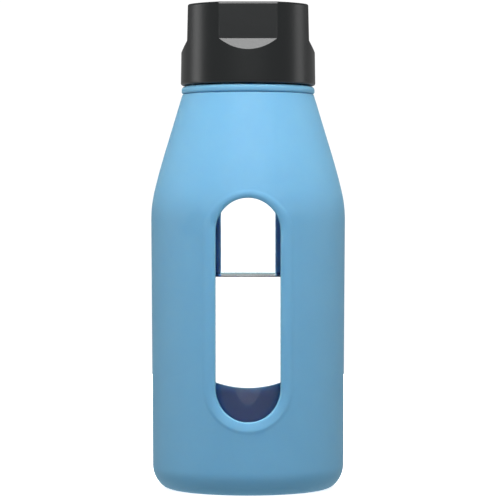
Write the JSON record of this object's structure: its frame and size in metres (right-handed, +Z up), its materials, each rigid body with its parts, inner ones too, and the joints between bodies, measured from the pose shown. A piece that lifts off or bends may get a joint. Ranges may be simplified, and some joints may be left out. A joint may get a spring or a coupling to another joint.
{
  "type": "glass water bottle",
  "caption": "Clear glass water bottle in a silicone sleeve with a long window front and back, closed by a screw cap with flat grips.",
  "frame": {"origin": "centre of the foot, on the surface that the bottle stands on", "axes": "+Z up the bottle's axis, -Y out of the front window, +X to the right of someone who looks at the front window"},
  "size_m": [0.0765, 0.0765, 0.19],
  "materials": {
    "bottle_glass": "clear, fire-polished",
    "sleeve_silicone": "soft matte moulded silicone",
    "cap_plastic": "fine moulded satin",
    "liner_plastic": "plain moulded",
    "gasket_silicone": "smooth moulded silicone"
  },
  "bodies": {
    "bottle": {"glass_bottle": "bottle_glass", "silicone_sleeve": "sleeve_silicone"},
    "seal": {"cap_gasket": "gasket_silicone"},
    "cap": {"cap_shell": "cap_plastic", "cap_liner": "liner_plastic"}
  },
  "joints": [
    {"name": "cap_rise", "type": "slide", "parent": "bottle", "child": "seal", "axis": [0, 0, 1], "range_m": [0, 0.02]},
    {"name": "cap_turn", "type": "hinge", "parent": "seal", "child": "cap", "pos_m": [0, 0, 0.1586], "axis": [0, 0, 1], "range_deg": [0, 900]}
  ],
  "couplings": [
    {"joint": "cap_rise", "follows": "cap_turn", "m_per_rad": 0.001273}
  ]
}
